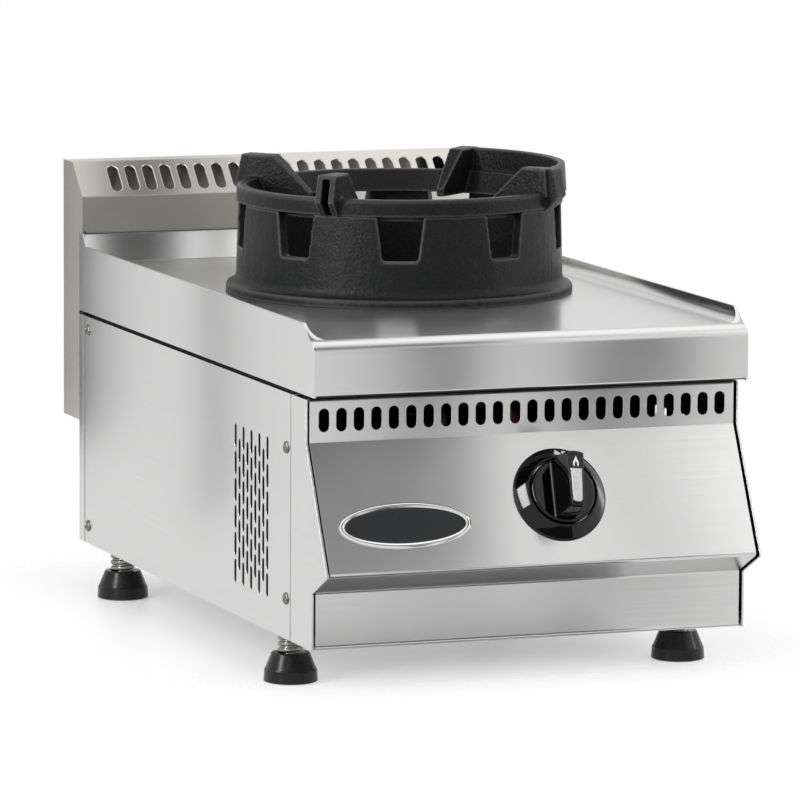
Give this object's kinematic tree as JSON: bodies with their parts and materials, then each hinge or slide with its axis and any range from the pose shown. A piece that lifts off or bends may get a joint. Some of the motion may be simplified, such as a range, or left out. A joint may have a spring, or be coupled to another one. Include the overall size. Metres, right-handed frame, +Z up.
{
  "type": "wok burner",
  "caption": "Countertop gas wok burner: a folded stainless casing on screw feet with a slotted flue, one push-and-turn gas tap and a windowed cast-iron wok ring with lugs.",
  "frame": {"origin": "on the floor, at the middle of the overall width and depth", "axes": "+X to the right seen from the front, +Y to the back (flue), +Z up; the knob is on the -Y side"},
  "size_m": [0.4116, 0.7599, 0.4275],
  "materials": {
    "stainless_sheet": "brushed stainless sheet, grain along the panel",
    "black_spacer": "matt black paint",
    "bright_screw": "bright plated pan head",
    "badge": "dark enamel field with a bright rim, bare",
    "pressed_steel": "plain pressed steel",
    "cast_iron": "black sand casting with fine grain",
    "brass": "machined brass",
    "gas_line": "drawn copper pipe",
    "pilot_line": "drawn aluminium pipe",
    "tap_steel": "turned steel",
    "black_plastic": "gloss black moulding",
    "chrome_inlay": "polished plating",
    "plated_thread": "zinc plated thread"
  },
  "bodies": {
    "casing": {"base_tray": "stainless_sheet", "left_side_panel": "stainless_sheet", "right_side_panel": "stainless_sheet", "left_cheek": "stainless_sheet", "right_cheek": "stainless_sheet", "front_panel": "stainless_sheet", "back_panel": "stainless_sheet", "hob_top": "stainless_sheet", "flue_hood": "stainless_sheet", "hob_spacers": "black_spacer", "side_screws": "bright_screw", "badge_plate": "badge", "spill_bowl": "pressed_steel", "burner_bracket": "pressed_steel", "pilot_bracket": "pressed_steel", "foot_sockets": "pressed_steel", "burner_body": "cast_iron", "mixing_tube": "cast_iron", "injector": "brass", "valve_body": "brass", "valve_nut": "brass", "gas_inlet": "brass", "pilot_burner": "brass", "gas_pipe": "gas_line", "injector_pipe": "gas_line", "thermocouple": "gas_line", "thermocouple_lead": "gas_line", "pilot_pipe": "pilot_line", "knob_bezel": "black_plastic"},
    "plunger": {"valve_plunger": "tap_steel"},
    "knob": {"knob": "black_plastic", "knob_insert": "chrome_inlay", "valve_spindle": "tap_steel"},
    "ring_base": {"ring_base": "cast_iron"},
    "pan_support": {"pan_support": "cast_iron"},
    "burner_head": {"burner_head": "cast_iron"},
    "front_left_pad": {"front_left_pad": "black_plastic"},
    "front_left_stem": {"front_left_stem": "plated_thread"},
    "front_right_pad": {"front_right_pad": "black_plastic"},
    "front_right_stem": {"front_right_stem": "plated_thread"},
    "rear_left_pad": {"rear_left_pad": "black_plastic"},
    "rear_left_stem": {"rear_left_stem": "plated_thread"},
    "rear_right_pad": {"rear_right_pad": "black_plastic"},
    "rear_right_stem": {"rear_right_stem": "plated_thread"}
  },
  "joints": [
    {"name": "knob_push", "type": "slide", "parent": "casing", "child": "plunger", "axis": [0, 0.8911, -0.4538], "range_m": [0, 0.0045], "stiffness_N_per_m": 800, "springref_m": -0.003},
    {"name": "knob_turn", "type": "hinge", "parent": "plunger", "child": "knob", "pos_m": [0.023, -0.32896, 0.16976], "axis": [0, -0.8911, 0.4538], "range_deg": [0, 180]},
    {"name": "ring_base_lift", "type": "slide", "parent": "casing", "child": "ring_base", "axis": [0, 0, 1], "range_m": [0, 0.15]},
    {"name": "pan_support_lift", "type": "slide", "parent": "ring_base", "child": "pan_support", "axis": [0, 0, 1], "range_m": [0, 0.08]},
    {"name": "burner_head_lift", "type": "slide", "parent": "casing", "child": "burner_head", "axis": [0, 0, 1], "range_m": [0, 0.12]},
    {"name": "front_left_foot_height", "type": "slide", "parent": "casing", "child": "front_left_pad", "axis": [0, 0, -1], "range_m": [-0.01, 0.012]},
    {"name": "front_left_stem_turn", "type": "hinge", "parent": "front_left_pad", "child": "front_left_stem", "pos_m": [-0.182, -0.21687, 0.03], "axis": [0, 0, -1], "range_deg": [-660, 790]},
    {"name": "front_right_foot_height", "type": "slide", "parent": "casing", "child": "front_right_pad", "axis": [0, 0, -1], "range_m": [-0.01, 0.012]},
    {"name": "front_right_stem_turn", "type": "hinge", "parent": "front_right_pad", "child": "front_right_stem", "pos_m": [0.182, -0.21687, 0.03], "axis": [0, 0, -1], "range_deg": [-660, 790]},
    {"name": "rear_left_foot_height", "type": "slide", "parent": "casing", "child": "rear_left_pad", "axis": [0, 0, -1], "range_m": [-0.01, 0.012]},
    {"name": "rear_left_stem_turn", "type": "hinge", "parent": "rear_left_pad", "child": "rear_left_stem", "pos_m": [-0.182, 0.25513, 0.03], "axis": [0, 0, -1], "range_deg": [-660, 790]},
    {"name": "rear_right_foot_height", "type": "slide", "parent": "casing", "child": "rear_right_pad", "axis": [0, 0, -1], "range_m": [-0.01, 0.012]},
    {"name": "rear_right_stem_turn", "type": "hinge", "parent": "rear_right_pad", "child": "rear_right_stem", "pos_m": [0.182, 0.25513, 0.03], "axis": [0, 0, -1], "range_deg": [-660, 790]}
  ],
  "couplings": [
    {"joint": "front_left_stem_turn", "follows": "front_left_foot_height", "rad_per_m": 1142.4},
    {"joint": "front_right_stem_turn", "follows": "front_right_foot_height", "rad_per_m": 1142.4},
    {"joint": "rear_left_stem_turn", "follows": "rear_left_foot_height", "rad_per_m": 1142.4},
    {"joint": "rear_right_stem_turn", "follows": "rear_right_foot_height", "rad_per_m": 1142.4}
  ]
}
